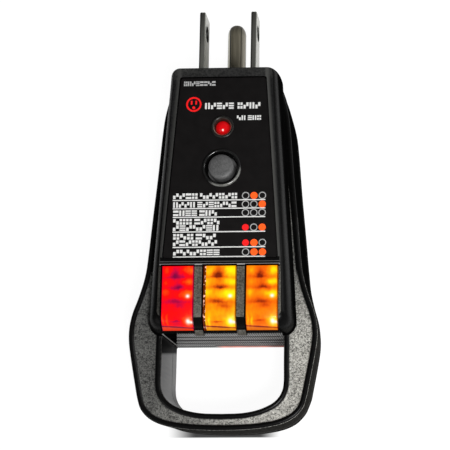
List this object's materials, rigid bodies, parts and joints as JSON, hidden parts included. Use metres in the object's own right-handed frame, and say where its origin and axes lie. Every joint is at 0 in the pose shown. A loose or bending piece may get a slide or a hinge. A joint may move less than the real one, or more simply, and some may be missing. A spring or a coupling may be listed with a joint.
{
  "type": "outlet tester plug",
  "caption": "Three-prong plug-in outlet tester: tapered black case with a finger loop, three indicator lamp windows, a round test button and a small red lamp.",
  "frame": {"origin": "midway between the two flat blades, on the plug end face of the case", "axes": "+Y out along the prongs, +Z out of the label face, +X to the right seen from the label with the prongs up"},
  "size_m": [0.045, 0.1064, 0.0262],
  "materials": {
    "housing": "moulded black plastic, fine texture on the flats and gloss on the rounded edges",
    "label": "matt black film",
    "bezel": "gloss black",
    "button": "grey, satin",
    "bright_ring": "satin bright",
    "red_lens": "clear red plastic, lit",
    "amber_lens": "clear amber plastic, lit",
    "prong": "nickel plated, satin",
    "white_insert": "moulded white plastic",
    "board": "green laminate",
    "switch": "black, satin",
    "spring": "bright wire",
    "lamp_glass": "clear glass",
    "resistor": "tan coating",
    "wire_black": "insulation",
    "wire_white": "insulation",
    "wire_green": "insulation",
    "screw": "zinc plated"
  },
  "bodies": {
    "case": {"front_housing": "housing", "rear_housing": "housing", "label_panel": "label", "button_bezel": "bezel", "led_bezel": "bright_ring", "indicator_led": "red_lens", "red_lens": "red_lens", "amber_lens_center": "amber_lens", "amber_lens_right": "amber_lens", "hot_blade": "prong", "neutral_blade": "prong", "ground_pin": "prong", "blade_carrier": "white_insert", "circuit_board": "board", "switch_body": "switch", "lamp_divider": "white_insert", "lamp_left": "lamp_glass", "lamp_center": "lamp_glass", "lamp_right": "lamp_glass", "lamp_resistor_left": "resistor", "lamp_resistor_center": "resistor", "lamp_resistor_right": "resistor", "test_resistor": "resistor", "hot_wire": "wire_black", "neutral_wire": "wire_white", "ground_wire": "wire_green", "case_screw_1": "screw", "case_screw_2": "screw", "case_screw_3": "screw", "case_screw_4": "screw"},
    "button": {"test_button": "button", "button_spring": "spring"},
    "plunger": {"switch_plunger": "button"}
  },
  "joints": [
    {"name": "button_press", "type": "slide", "parent": "case", "child": "button", "axis": [0, 0, -1], "range_m": [0, 0.0012], "stiffness_N_per_m": 600, "springref_m": -0.001, "deforming": ["button_spring"]},
    {"name": "plunger_press", "type": "slide", "parent": "case", "child": "plunger", "axis": [0, 0, -1], "range_m": [0, 0.0012]}
  ],
  "couplings": [
    {"joint": "plunger_press", "follows": "button_press", "ratio": 1}
  ]
}
